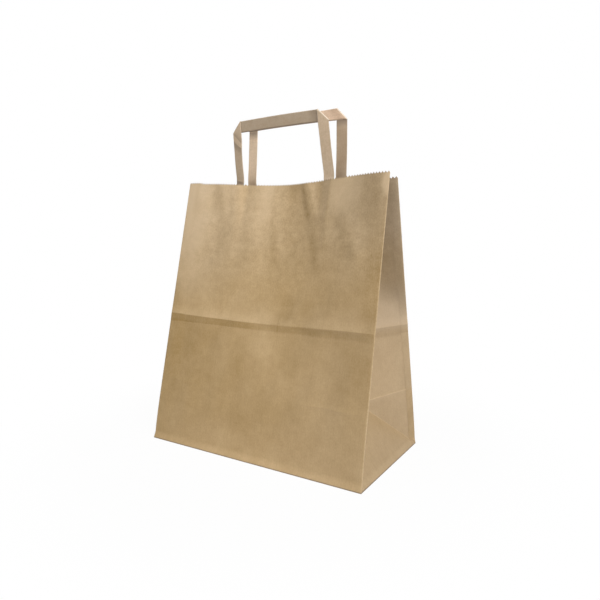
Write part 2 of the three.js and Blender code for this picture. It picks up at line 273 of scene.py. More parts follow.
FRONT_NICKS = [
    Nick((62.5, 215.0), (59.5, 320.0), 7.0, 0.9),
    Nick((-10.0, 262.0), (14.0, 198.0), 7.0, 0.45),
    Nick((-17.0, 245.0), (-10.0, 192.0), 12.0, -0.6),
    Nick((43.0, 240.0), (46.0, 198.0), 8.0, -0.5),
    Nick((78.0, 264.0), (107.0, 206.0), 10.0, 0.9),
    Nick((16.7, 136.0), (16.7, 172.0), 3.4, 0.22),
    Nick((73.3, 145.0), (73.3, 170.0), 3.4, -0.14),
    Nick((50.0, HALF_DEPTH), (150.0, HALF_DEPTH), 3.4, 0.4),
    Nick((-150.0, HALF_DEPTH), (-70.0, HALF_DEPTH), 3.4, 0.25),
]
BACK_NICKS = [
    Nick((-150.0, HALF_DEPTH), (-60.0, HALF_DEPTH), 3.4, 0.2),
    Nick((60.0, HALF_DEPTH), (150.0, HALF_DEPTH), 3.4, 0.16),
    Nick((-54.0, 240.0), (-57.0, 320.0), 7.0, 0.7),
]
LEG_PRINT = 0.42  # how far a glued leg stands through the panel
LEG_PRINT_EDGE = 1.6


class Panel:
    """One big panel; inward is the sign of Y that points into the bag."""

    def __init__(self, inward, mouth, slack, handle, pleats, nicks):
        self.inward = inward
        self.base_y = -inward * HALF_DEPTH
        self.mouth = mouth
        self.slack = slack
        self.handle = handle
        self.pleats = pleats
        self.nicks = nicks

    def along(self, x):
        return FRONT_START + x + HALF_WIDTH if self.inward > 0 else BACK_START + HALF_WIDTH - x

    def leg_places(self):
        return [self.handle["shift"] + side * LEG_SPACING / 2 for side in (-1, 1)]

    def relief(self, x, height):
        """How far the paper stands out from the plain panel."""
        down = PANEL_HEIGHT - height
        total = np.zeros(np.broadcast(x, height).shape)
        for place, drift, width, size, reach in self.pleats:
            total = total + size * bump_at(x, place + drift * down, width) * bump_at(down, 0, reach)
        over_foot = 1 - smooth(down, LEG_GLUED - 2, LEG_GLUED + 8)
        for place in self.leg_places():
            past_edge = np.abs(x - place) - TAPE_WIDTH / 2
            total = total + LEG_PRINT * (1 - smooth(past_edge, -0.4, LEG_PRINT_EDGE)) * over_foot
        for nick in self.nicks:
            total = total + nick(x, height)
        edge = smooth(HALF_WIDTH - np.abs(x), 0, 26)
        total = total + sheet_waves(self.along(x), height)
        return total * edge

    def point(self, x, height):
        x, height = np.broadcast_arrays(np.asarray(x, float), np.asarray(height, float))
        run = self.mouth(x) - self.base_y
        middle = bow_share(x)
        rise = np.sqrt(PANEL_HEIGHT ** 2 - run ** 2) - self.slack["sag"] * sag_share(x)
        past_corner = smooth(x + HALF_WIDTH, self.slack["corner_start"], self.slack["corner_end"])
        rise = rise + self.slack["corner_rise"] * (1 - past_corner)
        share = height / PANEL_HEIGHT
        out = self.slack["belly"] * middle * np.sin(np.pi * share)
        print_share = 0.35 + 0.65 * smooth(HALF_WIDTH - np.abs(x), 0, 14)
        tilt = PRINT_TILT if self.inward > 0 else 0.0
        out = out + ridge(x, height - tilt * x) * print_share + foot_dent(height) + self.relief(x, height)
        return np.stack([x, self.base_y + run * share - self.inward * out, BASE_Z + rise * share], axis=-1)

    def inside(self, x, height, offset):
        """The point moved into the bag, square to the panel."""
        step = 0.5
        side = self.point(x + step, height) - self.point(x - step, height)
        up = self.point(x, height) - self.point(x, np.asarray(height, float) - step)
        normal = np.cross(side, up)
        normal /= np.linalg.norm(normal, axis=-1, keepdims=True)
        outward = normal * np.sign(-normal[..., 1:2]) * self.inward
        return self.point(x, height) - outward * np.asarray(offset)[..., None]


front = Panel(1, front_mouth, FRONT_SLACK, FRONT_HANDLE, FRONT_PLEATS, FRONT_NICKS)
back = Panel(-1, back_mouth, BACK_SLACK, BACK_HANDLE, BACK_PLEATS, BACK_NICKS)


GUSSET_WAVE_SHARE = 0.7
DENT_AT_CREASE = 156.0  # height of the gusset's soft dent at its centre crease
DENT_AT_EDGE = 196.0
DENT_DEPTH = 3.4
DENT_BELOW = 26.0
DENT_ABOVE = 75.0


def gusset_dent(into, height):
    """The soft fold where the gusset turns from its open foot to its closed top."""
    line = DENT_AT_EDGE + (DENT_AT_CREASE - DENT_AT_EDGE) * into
    below = 1 - smooth(line - height, 0, DENT_BELOW)
    above = 1 - smooth(height - line, 0, DENT_ABOVE)
    across_half = np.clip(into * (1 - into) * 5.0, 0, 1)
    return DENT_DEPTH * np.where(height < line, below, above) * across_half


class Gusset:
    """One side gusset; side is the sign of X. Its centre crease is folded in."""

    def __init__(self, side):
        self.side = side
        foot_x = side * (HALF_WIDTH - HALF_DEPTH * math.sin(GUSSET_LEAN))
        self.foot = np.array([foot_x, 0.0, BASE_Z + HALF_DEPTH * math.cos(GUSSET_LEAN)])
        corner_gap = mouth_gap(side * HALF_WIDTH)
        self.reach = math.sqrt(HALF_DEPTH ** 2 - (corner_gap / 2) ** 2)
        top_x = side * (HALF_WIDTH - self.reach)
        top_y = (front_mouth(top_x) + back_mouth(top_x)) / 2
        length = PANEL_HEIGHT - HALF_DEPTH
        top_rise = math.sqrt(length ** 2 - (top_x - foot_x) ** 2 - top_y ** 2)
        self.top = np.array([top_x, top_y, self.foot[2] + top_rise])

    def upper(self, panel, into, height):
        """Above the foot crease: from the panel's edge to the centre crease, bent with the panel."""
        share = (height - HALF_DEPTH) / (PANEL_HEIGHT - HALF_DEPTH)
        edge_x = self.side * HALF_WIDTH
        edge = panel.point(edge_x, height)
        crease = self.foot + (self.top - self.foot) * share[..., None]
        point = edge + (crease - edge) * into[..., None]
        x = self.side * (HALF_WIDTH - self.reach * into)
        bent = panel.mouth(x) + (self.top[1] - panel.mouth(self.top[0])) * into
        straight = panel.mouth(edge_x) + (self.top[1] - panel.mouth(edge_x)) * into
        point[..., 1] += (bent - straight) * share
        point[..., 0] += self.side * ridge(edge_x, height) * into
        return point

    def corner(self, panel, into, height):
        """Between the foot crease and the diagonal: one flat facet."""
        edge_x = self.side * HALF_WIDTH
        edge = panel.point(edge_x, height)
        top = panel.point(edge_x, HALF_DEPTH)
        return edge + (self.foot - top) * into[..., None]

    def base_triangle(self, off, height):
        """Under both diagonals: the facet that rises from the base fold."""
        rise = (height / HALF_DEPTH)[..., None]
        toward_back = ((off - height) / GUSSET_DEPTH)[..., None]
        front_corner = front.point(self.side * HALF_WIDTH, 0.0)
        back_corner = back.point(self.side * HALF_WIDTH, 0.0)
        return front_corner * (1 - rise - toward_back) + back_corner * toward_back + self.foot * rise

    def point(self, off, height):
        """off is measured from the front edge across the gusset to the back edge."""
        off, height = np.broadcast_arrays(np.asarray(off, float), np.asarray(height, float))
        near_front = off <= HALF_DEPTH
        into = np.where(near_front, off, GUSSET_DEPTH - off) / HALF_DEPTH
        found = self.base_triangle(off, height)
        for panel, chosen in ((front, near_front), (back, ~near_front)):
            corner_part = chosen & (height >= into * HALF_DEPTH - NEARLY) & (height < HALF_DEPTH)
            upper_part = chosen & (height >= HALF_DEPTH)
            found[corner_part] = self.corner(panel, into, height)[corner_part]
            found[upper_part] = self.upper(panel, into, height)[upper_part]
        along = RIGHT_GUSSET_START + off if self.side > 0 else FRONT_START - off
        free = 4 * into * (1 - into) * smooth(height, HALF_DEPTH, HALF_DEPTH + 40)
        found[..., 0] += self.side * GUSSET_WAVE_SHARE * sheet_waves(along, height) * free
        dented = np.where(near_front, 0.4, 1.0) * gusset_dent(into, height)
        found[..., 0] -= self.side * dented * (height >= HALF_DEPTH)
        return found


gussets = {1: Gusset(1), -1: Gusset(-1)}


def sheet_point(along, height):
    """The folded place of a point of the flat sheet; along is one number, height a row of them."""
    if along < BACK_START:
        return gussets[1].point(along - BACK_START + GUSSET_DEPTH, height)
    if along <= LEFT_GUSSET_START:
        return back.point(HALF_WIDTH - (along - BACK_START), height)
    if along < FRONT_START:
        return gussets[-1].point(FRONT_START - along, height)
    if along <= RIGHT_GUSSET_START:
        return front.point(along - FRONT_START - HALF_WIDTH, height)
    return gussets[1].point(along - RIGHT_GUSSET_START, height)


def fold_steps(length):
    """Even steps of one tooth, with a narrow facet beside each end."""
    count = round(length / TOOTH_PITCH)
    inner = [i * TOOTH_PITCH for i in range(1, count)]
    return [0.0, FOLD_NEAR, *inner, length - FOLD_NEAR]


def sheet_columns():
    """Places round the bag: the glued lap, then each face between two folds."""
    columns = [BACK_START - step for step in (LAP_WIDTH, 2 * TOOTH_PITCH, TOOTH_PITCH, FOLD_NEAR)]
    for start, end in zip(FOLDS, (*FOLDS[1:], SHEET_END)):
        columns += [start + step for step in fold_steps(end - start)]
    return columns


def sheet_rows():
    """Heights on the sheet, closer together across the print of the base."""
    lower = fold_steps(HALF_DEPTH)
    middle = [HALF_DEPTH, HALF_DEPTH + FOLD_NEAR]
    middle += [HALF_DEPTH + i * TOOTH_PITCH for i in range(1, 20)]
    print_rows = [135, 135.5, 136, 138, 140, 142, 143.4, 144, 144.6, 146, 148, 150, 152.5]
    upper = [155 + i * TOOTH_PITCH for i in range(0, 41)]
    return lower + middle + print_rows + upper + [PANEL_HEIGHT - TOOTH_DEPTH]


class Sheet:
    """Corners and faces of one sheet of paper, with each face corner's place on the flat sheet."""

    def __init__(self):
        self.points = []
        self.faces = []
        self.flat = []

    def add_points(self, points):
        first = len(self.points)
        self.points.extend(np.asarray(points, float).reshape(-1, 3))
        return first

    def add_face(self, corners, flat):
        self.faces.append(tuple(corners))
        self.flat.append(flat)

    def add_grid(self, rows, flat_spot, flipped):
        """Rows of points with faces between them; flat_spot gives a point's place on the flat sheet."""
        count, wide = len(rows), len(rows[0])
        first = self.add_points(rows)
        index = first + np.arange(count * wide).reshape(count, wide)
        for j in range(count - 1):
            for i in range(wide - 1):
                ring = [(j, i), (j, i + 1), (j + 1, i + 1), (j + 1, i)]
                ring = ring[::-1] if flipped else ring
                self.add_face([index[spot] for spot in ring], [flat_spot(*spot) for spot in ring])

    def corner_normals(self):
        points = np.array(self.points)
        sums = np.zeros_like(points)
        for face in self.faces:
            spots = points[list(face)]
            normal = np.cross(spots[1] - spots[0], spots[2] - spots[0])
            if len(face) == 4:
                normal = np.cross(spots[2] - spots[0], spots[3] - spots[1])
            length = np.linalg.norm(normal)
            for corner in face:
                sums[corner] += normal / max(length, 1e-9)
        return sums / np.maximum(np.linalg.norm(sums, axis=1, keepdims=True), 1e-9)

    def solid(self, outer, inner):
        """Corners, faces and flat places of the closed sheet with that much paper on each side."""
        points = np.array(self.points)
        normals = self.corner_normals()
        count = len(points)
        outer, inner = (np.broadcast_to(side, count)[:, None] for side in (outer, inner))
        corners = np.concatenate([points + normals * outer, points - normals * inner])
        faces = list(self.faces)
        flat = [[(*spot, 0.0) for spot in face] for face in self.flat]
        rim = {}
        for face, places in zip(self.faces, self.flat):
            faces.append(tuple(count + corner for corner in reversed(face)))
            flat.append([(*spot, INNER_FACE) for spot in reversed(places)])
            for i, start in enumerate(face):
                end = face[(i + 1) % len(face)]
                if rim.pop((end, start), None) is None:
                    rim[(start, end)] = (places[i], places[(i + 1) % len(face)])
        for (start, end), (at_start, at_end) in rim.items():
            faces.append((end, start, count + start, count + end))
            flat.append([(*at_end, 0.0), (*at_start, 0.0), (*at_start, 0.0), (*at_end, 0.0)])
        return corners, faces, flat


def make_piece(name, solid, material, node, sharp_degrees):
    """One smooth-shaded object that stands for a node, sharp at folds steeper than the angle."""
    corners, faces, flat = solid
    mesh = bpy.data.meshes.new(name)
    mesh.from_pydata([tuple(corner * MILLIMETRE) for corner in corners], [], faces)
    mesh.polygons.foreach_set("use_smooth", [True] * len(faces))
    places = mesh.attributes.new("flat", "FLOAT_VECTOR", "CORNER")
    places.data.foreach_set("vector", [value for face in flat for spot in face for value in spot])
    mesh.set_sharp_from_angle(angle=math.radians(sharp_degrees))
    mesh.materials.append(material)
    mesh.update()
    piece = bpy.data.objects.new(name, mesh)
    bpy.context.scene.collection.objects.link(piece)
    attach(piece, "root")
    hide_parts(node)
    return piece


def lap_lift(along):
    return LAP_LIFT * smooth(BACK_START - along, -0.2, 2.5)


def add_walls(sheet, columns, rows):
    """The tube of panels and gussets; returns the index of each column's and row's corner."""
    heights = np.array(rows)
    grid = np.array([sheet_point(along, heights) for along in columns])
    softened = grid.copy()
    for fold in FOLDS:
        i = int(np.argmin(np.abs(np.array(columns) - fold)))
        softened[i] = (grid[i - 1] + 2 * grid[i] + grid[i + 1]) / 4
    first = sheet.add_points(softened)
    return first + np.arange(len(columns) * len(rows)).reshape(len(columns), len(rows))


def on_diagonal(along, next_along, low, high):
    """The way that the gusset's diagonal crease crosses a cell: 1 rising, -1 falling, 0 not at all."""
    if high > HALF_DEPTH + NEARLY:
        return 0
    for start in (LEFT_GUSSET_START, RIGHT_GUSSET_START, BACK_START - GUSSET_DEPTH):
        near, far = along - start, next_along - start
        if abs(near - low) < NEARLY and abs(far - high) < NEARLY:
            return 1
        near, far = GUSSET_DEPTH - near, GUSSET_DEPTH - far
        if abs(far - low) < NEARLY and abs(near - high) < NEARLY:
            return -1
    return 0


def add_wall_faces(sheet, index, columns, rows):
    """The cells of the tube; a cell on a gusset's diagonal is split along it."""
    for i in range(len(columns) - 1):
        for j in range(len(rows) - 1):
            corners = [index[i, j], index[i + 1, j], index[i + 1, j + 1], index[i, j + 1]]
            flat = [(columns[i], rows[j]), (columns[i + 1], rows[j]),
                    (columns[i + 1], rows[j + 1]), (columns[i], rows[j + 1])]
            crossing = on_diagonal(columns[i], columns[i + 1], rows[j], rows[j + 1])
            if crossing == 0:
                sheet.add_face(corners, flat)
                continue
            halves = ((0, 1, 2), (0, 2, 3)) if crossing > 0 else ((0, 1, 3), (1, 2, 3))
            for half in halves:
                sheet.add_face([corners[k] for k in half], [flat[k] for k in half])


def add_teeth(sheet, index, columns, rows):
    """The pinked edge of the mouth."""
    first_tooth = round(BACK_START / TOOTH_PITCH) - 2
    last_tooth = round(SHEET_END / TOOTH_PITCH)
    places = np.array(columns)
    for tooth in range(first_tooth, last_tooth):
        start, end = tooth * TOOTH_PITCH, (tooth + 1) * TOOTH_PITCH
        inside = np.nonzero((places > start - NEARLY) & (places < end + NEARLY))[0]
        middle = (start + end) / 2
        tip = sheet.add_points(sheet_point(middle, np.array([PANEL_HEIGHT])))
        for i, k in zip(inside[:-1], inside[1:]):
            flat = [(columns[i], rows[-1]), (columns[k], rows[-1]), (middle, PANEL_HEIGHT)]
            sheet.add_face([index[i, -1], index[k, -1], tip], flat)


def add_base(sheet, index, columns):
    """The base sheet between the lowest corners of the walls."""
    place = {round(along, 3): int(index[i, 0]) for i, along in enumerate(columns)}
    spots_x = [step - HALF_WIDTH for step in fold_steps(PANEL_WIDTH)] + [HALF_WIDTH]
    half_steps = fold_steps(HALF_DEPTH)
    spots_y = [step - HALF_DEPTH for step in half_steps] + half_steps + [HALF_DEPTH]
    corner = {}
    for x in spots_x:
        for y in spots_y:
            if y == -HALF_DEPTH:
                along = FRONT_START + x + HALF_WIDTH
            elif y == HALF_DEPTH:
                along = BACK_START + HALF_WIDTH - x
            elif x == HALF_WIDTH:
                along = RIGHT_GUSSET_START + y + HALF_DEPTH
            elif x == -HALF_WIDTH:
                along = LEFT_GUSSET_START + HALF_DEPTH - y
            else:
                corner[x, y] = sheet.add_points([(x, y, BASE_Z)])
                continue
            corner[x, y] = place[round(along, 3)]
    for x, next_x in zip(spots_x[:-1], spots_x[1:]):
        for y, next_y in zip(spots_y[:-1], spots_y[1:]):
            ring = [(x, y), (x, next_y), (next_x, next_y), (next_x, y)]
            flat = [(FRONT_MIDDLE + a, -HALF_DEPTH - b) for a, b in ring]
            sheet.add_face([corner[spot] for spot in ring], flat)


def bag_sheet(material):
    sheet = Sheet()
    columns = sheet_columns()
    rows = sheet_rows()
    index = add_walls(sheet, columns, rows)
    add_wall_faces(sheet, index, columns, rows)
    add_teeth(sheet, index, columns, rows)
    add_base(sheet, index, columns)
    lift = np.zeros(len(sheet.points))
    for i, along in enumerate(columns):
        if along < BACK_START:
            lift[index[i]] = lap_lift(along)
    solid = sheet.solid(PAPER / 2 + lift, PAPER / 2 - lift)
    make_piece("bag_sheet", solid, material, "bag_body", 24)


def base_flap(name, panel, low, material):
    """One long base flap under the bag, its ends folded at 45 degrees."""
    sheet = Sheet()
    rows = []
    for step in np.linspace(0.4, BASE_FLAP_DEPTH, 24):
        half = HALF_WIDTH - step
        y = panel.base_y + panel.inward * step
        rows.append([(share * half, y, low + PAPER / 2) for share in np.linspace(-1, 1, 53)])

    def flat_spot(j, i):
        return rows[j][i][0] + FLAP_SHIFT[0], rows[j][i][1] + FLAP_SHIFT[1]

    sheet.add_grid(rows, flat_spot, panel.inward > 0)
    half = PAPER / 2 - 0.01
    make_piece(name, sheet.solid(half, half), material, "bag_body", 40)


# The tape's columns across its width, and how much paper lies on its showing face and its back there
TAPE_COLUMNS = np.array([0.0, 0.25, 0.7, 1.3, 1.42, 3.5, 6.0, 8.5, 10.6, 11.2, 11.75, 12.0])
TAPE_FACE = np.array([0.12, 0.22, 0.26, 0.26, 0.38, 0.4, 0.4, 0.4, 0.4, 0.38, 0.32, 0.16])
TAPE_BACK = np.array([0.14, 0.28, 0.32, 0.32, 0.32, 0.32, 0.32, 0.32, 0.32, 0.32, 0.28, 0.14])
MIDDLE = 6  # the column on the tape's centre line

LOOSE_BELOW_MOUTH = 8.0  # length of leg that has come away from the panel
LOOSE_INWARD = 3.0
LEG_SETTLE = 0.12  # share of the free leg in which it comes to its own turn
GLUED_ROWS = 17
LEG_ROWS = 25
CREASE_ROWS = 6
FOLD_ROWS = 9
STRIP_ROWS = 30


def unit(vector):
    return vector / np.linalg.norm(vector)


def turned(points, pivot, axis, angle):
    """Points turned about an axis through the pivot."""
    axis = unit(axis)
    away = points - pivot
    flat_part = np.cross(axis, away)
    along_part = np.outer(away @ axis, axis)
    return pivot + along_part + (away - along_part) * math.cos(angle) + flat_part * math.sin(angle)


class Tape:
    """The rows of points of one handle's tape, from one leg's foot round to the other's."""

    def __init__(self, panel, habits):
        self.panel = panel
        self.habits = habits
        self.share = TAPE_COLUMNS / TAPE_WIDTH
        angle = math.radians(panel.handle["lean"])
        self.lift = np.array([0.0, math.sin(angle), math.cos(angle)])
        tops = {side: self.corner_top(side) for side in (-1, 1)}
        self.along = unit(tops[1] - tops[-1])
        self.up = unit(self.lift - self.along * (self.lift @ self.along))
        self.facing = np.cross(self.along, self.up)
        self.tops = tops

    def leg_x(self, side):
        return self.panel.handle["shift"] + side * LEG_SPACING / 2 + self.habits[side]["aside"]

    def corner_top(self, side):
        handle = self.panel.handle
        rise = handle["rise"] - (handle["left_drop"] if side < 0 else 0.0)
        start = self.panel.inside(self.leg_x(side), PANEL_HEIGHT, LEG_OFFSET)
        top = start + self.lift * rise
        top[0] += handle["sideways"] - side * handle["narrowing"] / 2
        return top

    def straight_row(self, outer, inner):
        return outer + (inner - outer) * self.share[:, None]

    def fold_ends(self, side):
        """The fold line at a corner: outer end on the leg's outer edge, inner end on the strip's top."""
        half = TAPE_WIDTH / 2
        inner = self.tops[side] - self.along * side * half
        outer = self.tops[side] + self.along * side * half - self.up * TAPE_WIDTH
        return outer, inner

    def leg_rows(self, side):
        """Rows from the foot inside the bag up to the fold line, and the fold line's row."""
        habit = self.habits[side]
        outward = self.leg_x(side) + side * (TAPE_WIDTH / 2 - TAPE_COLUMNS)
        turn = math.radians(habit["turn"])
        ends = self.along * side * np.array([[TAPE_WIDTH / 2], [-TAPE_WIDTH / 2]])
        square = self.straight_row(*turned(ends, np.zeros(3), self.lift, turn))
        rows = []
        for down in np.linspace(LEG_GLUED, 0, GLUED_ROWS):
            flat_row = self.panel.inside(outward, PANEL_HEIGHT - down, LEG_OFFSET)
            loose = 1 - smooth(down, 0, LOOSE_BELOW_MOUTH)
            centre = flat_row[MIDDLE] + np.array([0.0, self.panel.inward * LOOSE_INWARD, 0.0]) * loose
            rows.append(centre + (flat_row - flat_row[MIDDLE]) * (1 - loose) + square * loose)
        mouth = rows[-1]
        leaving = unit(mouth[MIDDLE] - rows[-2][MIDDLE])
        fold_turn = math.radians(habit["fold_turn"])
        fold_ends = np.array(self.fold_ends(side))
        outer, inner = turned(fold_ends, self.tops[side], self.lift, fold_turn)
        leg_inner = turned(fold_ends, self.tops[side], self.lift, turn)[1]
        crease = self.straight_row(outer - self.up * 0.6, leg_inner - self.up * habit["crease_drop"])
        fold = self.straight_row(outer, inner)
        start, finish = mouth[MIDDLE], crease[MIDDLE]
        length = np.linalg.norm(finish - start)
        ahead = (finish - start) / length
        for t in np.linspace(0, 1, LEG_ROWS)[1:]:
            centre = start + (finish - start) * t + (leaving - ahead) * length * 0.55 * t * (1 - t) ** 6
            centre = centre + self.facing * habit["bow"] * math.sin(math.pi * t)
            settled = smooth(t, 0.0, LEG_SETTLE)
            near_top = smooth(t, 0.66, 1.0)
            row = (mouth - start) * (1 - settled) + square * settled
            rows.append(centre + row * (1 - near_top) + (crease - finish) * near_top)
        rows += [crease + (fold - crease) * t for t in np.linspace(0, 1, CREASE_ROWS)[1:]]
        return rows, fold

    def strip_offset(self):
        """From the leg's layer of tape to the strip's, at a corner."""
        return -self.panel.inward * FOLD_GAP * self.facing

    def fold_rows(self, fold, side):
        """The half turn of the tape round the fold line, from the leg to the strip beside it."""
        over = (self.along * side + self.up) / math.sqrt(2)
        rows = []
        for angle in np.linspace(0, math.pi, FOLD_ROWS)[1:]:
            across_fold = self.strip_offset() * (1 - math.cos(angle)) / 2
            rows.append(fold + across_fold + over * FOLD_GAP / 2 * math.sin(angle))
        return rows

    def strip_rows(self, start, end):
        """Rows between the two corners: on the fold's slant at the ends, square to the strip between."""
        rows = []
        square_start, square_end = self.strip_end(-1), self.strip_end(1)
        for t in np.linspace(0, 1, STRIP_ROWS)[1:-1]:
            square = square_start + (square_end - square_start) * t
            skew = start * (1 - t) + end * t
            near_end = max(1 - smooth(t, 0.0, 0.14), smooth(t, 0.86, 1.0))
            row = square + (skew - square) * near_end
            level = math.sin(math.pi * t)
            row = row + self.up * self.habits["strip_bow"] * level
            tilt = math.radians(self.habits["strip_tilt"]) * smooth(level, 0.0, 0.5)
            rows.append(turned(row, row[MIDDLE], self.along, tilt))
        return rows

    def strip_end(self, side):
        """The square row that the strip would have at its corner."""
        top = self.fold_ends(side)[1]
        bottom = top - self.up * TAPE_WIDTH
        return self.straight_row(bottom, top) + self.strip_offset()

    def build(self):
        """All rows, and the places of the two corner folds among them."""
        left, left_fold = self.leg_rows(-1)
        right, right_fold = self.leg_rows(1)
        left_turn = self.fold_rows(left_fold, -1)
        right_turn = self.fold_rows(right_fold, 1)
        strip = self.strip_rows(left_turn[-1], right_turn[-1])
        rows = left + left_turn + strip + right_turn[::-1] + right[::-1]
        folds = (len(left) + len(left_turn) // 2, len(rows) - len(right) - len(right_turn) // 2 - 1)
        return np.array(rows), folds


def tape_solid(rows, folds, face_outward, tag):
    """A closed tape through the rows of points; its strip lies between the two folds."""
    sheet = Sheet()
    steps = np.linalg.norm(np.diff(rows[:, MIDDLE], axis=0), axis=1)
    measured = np.concatenate([[0], np.cumsum(steps)])
    left, right, total = measured[folds[0]], measured[folds[1]], measured[-1]
    places = [STRIP_START - left, STRIP_START, STRIP_END, STRIP_END + total - right]
    along = tag + np.interp(measured, [0, left, right, total], places)

    def flat_spot(j, i):
        return TAPE_COLUMNS[i], along[j]

    sheet.add_grid(rows, flat_spot, not face_outward)
    return sheet.solid(np.tile(TAPE_FACE, len(rows)), np.tile(TAPE_BACK, len(rows)))


def patch_sheet(name, panel, material, node):
    """The patch glued over a handle's legs, inside the mouth."""
    sheet = Sheet()
    shift = panel.handle["shift"]
    spots = shift + np.linspace(-PATCH_HALF, PATCH_HALF, 122)
    heights = np.linspace(PATCH_BOTTOM, PATCH_TOP, 24)
    offset = np.full(len(spots), PATCH_ON_PANEL)
    for place in panel.leg_places():
        over_leg = 1 - smooth(np.abs(spots - place), TAPE_WIDTH / 2, TAPE_WIDTH / 2 + PATCH_RAMP)
        offset = offset + (PATCH_ON_LEG - PATCH_ON_PANEL) * over_leg
    rows = [panel.inside(spots, height, offset) for height in heights]

    def flat_spot(j, i):
        return spots[i] + PATCH_SHIFT, heights[j]

    sheet.add_grid(rows, flat_spot, panel.inward > 0)
    make_piece(name, sheet.solid(PAPER / 2, PAPER / 2), material, node, 40)


class Value:
    """A shader value; arithmetic on it adds Math nodes to its finish."""

    def __init__(self, finish, socket):
        self.finish = finish
        self.socket = socket

    def math(self, operation, *others):
        return self.finish.node("ShaderNodeMath", {"operation": operation}, dict(enumerate((self, *others))))

    def reflected(self, operation, other):
        return self.finish.node("ShaderNodeMath", {"operation": operation}, {0: other, 1: self})

    def __add__(self, other):
        return self.math("ADD", other)

    __radd__ = __add__

    def __mul__(self, other):
        return self.math("MULTIPLY", other)

    __rmul__ = __mul__

    def __sub__(self, other):
        return self.math("SUBTRACT", other)

    def __rsub__(self, other):
        return self.reflected("SUBTRACT", other)

    def __truediv__(self, other):
        return self.math("DIVIDE", other)

    def __rtruediv__(self, other):
        return self.reflected("DIVIDE", other)

    def __abs__(self):
        return self.math("ABSOLUTE")

    def lesser(self, other):
        return self.math("MINIMUM", other)

    def greater(self, other):
        return self.math("MAXIMUM", other)

    def ramp(self, low, high, from_value=0.0, to_value=1.0):
        """A smooth run from one value to another while this value goes from low to high."""
        sockets = {"Value": self, "From Min": low, "From Max": high, "To Min": from_value, "To Max": to_value}
        return self.finish.node("ShaderNodeMapRange", {"interpolation_type": "SMOOTHSTEP"}, sockets)

    def line(self, place, half_width):
        """One at the place, falling to none at the half width on each side."""
        return abs(self - place).ramp(0.0, half_width, 1.0, 0.0)


class Finish:
    """A material in the making."""

    def __init__(self, name):
        self.material = bpy.data.materials.new(name)
        self.material.use_nodes = True
        self.tree = self.material.node_tree
        self.tree.nodes.clear()

    def node(self, kind, settings=None, sockets=None, output=0):
        made = self.tree.nodes.new(kind)
        for name, setting in (settings or {}).items():
            setattr(made, name, setting)
        for name, value in (sockets or {}).items():
            if isinstance(value, Value):
                self.tree.links.new(value.socket, made.inputs[name])
            else:
                made.inputs[name].default_value = value
        return Value(self, made.outputs[output]) if made.outputs else None

    def flat_place(self):
        """Vector, along and height of the point on the flat sheet, in millimetres."""
        place = self.node("ShaderNodeAttribute", {"attribute_name": "flat"}, output=1)
        parts = [self.node("ShaderNodeSeparateXYZ", sockets={"Vector": place}, output=i) for i in (0, 1)]
        return place, parts[0], parts[1]

    def noise(self, place, scale, detail=2.0, stretch=(1.0, 1.0, 1.0)):
        scaled = self.node("ShaderNodeVectorMath", {"operation": "MULTIPLY"}, {0: place, 1: stretch})
        sockets = {"Vector": scaled, "Scale": scale, "Detail": detail, "Roughness": 0.6}
        return self.node("ShaderNodeTexNoise", {"noise_dimensions": "3D"}, sockets)

    def tint(self, share, first, second, within=True):
        """A colour between two colours, or also past them."""
        sockets = {"Factor": share, 6: first, 7: second}
        return self.node("ShaderNodeMix", {"data_type": "RGBA", "clamp_factor": within}, sockets, output=2)

    def paper(self, colour, grain):
        """The finished material: matte paper of that colour with its grain's relief."""
        sockets = {"Strength": BUMP_STRENGTH, "Distance": BUMP_DISTANCE, "Height": grain.relief()}
        bump = self.node("ShaderNodeBump", sockets=sockets)
        sockets = {"Base Color": colour, "Roughness": grain.roughness(), "Normal": bump}
        sockets["Specular IOR Level"] = 0.5
        surface = self.node("ShaderNodeBsdfPrincipled", sockets=sockets)
        self.node("ShaderNodeOutputMaterial", sockets={"Surface": surface})
        return self.material


KRAFT_DARK = (0.345, 0.23, 0.1, 1.0)
KRAFT_LIGHT = (0.5, 0.354, 0.19, 1.0)
# Grey of the painted sheen on the gussets and the front's upper part
KRAFT_SHEEN_GREY = (0.46, 0.39, 0.32, 1.0)
# Pale colour of rubbed wear, of painted highlights on folds and of painted sheen
KRAFT_WEAR_AND_SHEEN = (0.62, 0.465, 0.29, 1.0)
KRAFT_SPECK = (0.27, 0.175, 0.085, 1.0)
# Colours of a tape's left leg, strip and right leg: its two faces differ, and the strip shows the other one
# The colours also hold painted light and shade: the front's strip and the back's right leg are darker as
# painted shade, the back's left leg paler as painted light
FRONT_TAPE_TONES_AND_SHADE = [(0.53, 0.405, 0.282, 1.0), (0.435, 0.34, 0.243, 1.0), (0.572, 0.44, 0.31, 1.0)]
BACK_TAPE_TONES_AND_SHADE = [(0.795, 0.618, 0.446, 1.0), (0.785, 0.565, 0.4, 1.0), (0.435, 0.325, 0.224, 1.0)]
# The pale colour of the painted highlights on the tape's corner folds and inner edge
TAPE_HIGHLIGHT = (0.82, 0.72, 0.6, 1.0)
FOLD_SHADOW = (0.12, 0.085, 0.055, 1.0)
# Strengths of the facets' shadows on a tape, their slant, and how far under the left corner the leg's starts
FRONT_SHADES = {
    "slant": 0.5, "corner": 0.3, "twist": 0.14, "left_start": 17.0, "left": 0.42, "right": 0.0, "foot": 0.55,
    "under_leg": 0.38,
}
BACK_SHADES = {
    "slant": 0.0, "corner": 0.0, "twist": 0.0, "left_start": 8.0, "left": 0.7, "right": 0.6, "foot": 0.0,
    "under_leg": 0.08,
}
CORNER_CREASE = 9.5  # how far under the left corner its crease meets the leg's outer edge
FOOT_SHADOW_END = 63.5  # the place along the tape, just over the mouth, where the left leg's shadow ends
RIB_PITCH = 1.25
BUMP_STRENGTH = 0.2
BUMP_DISTANCE = 0.00012
SPECK_SHARE = 0.3


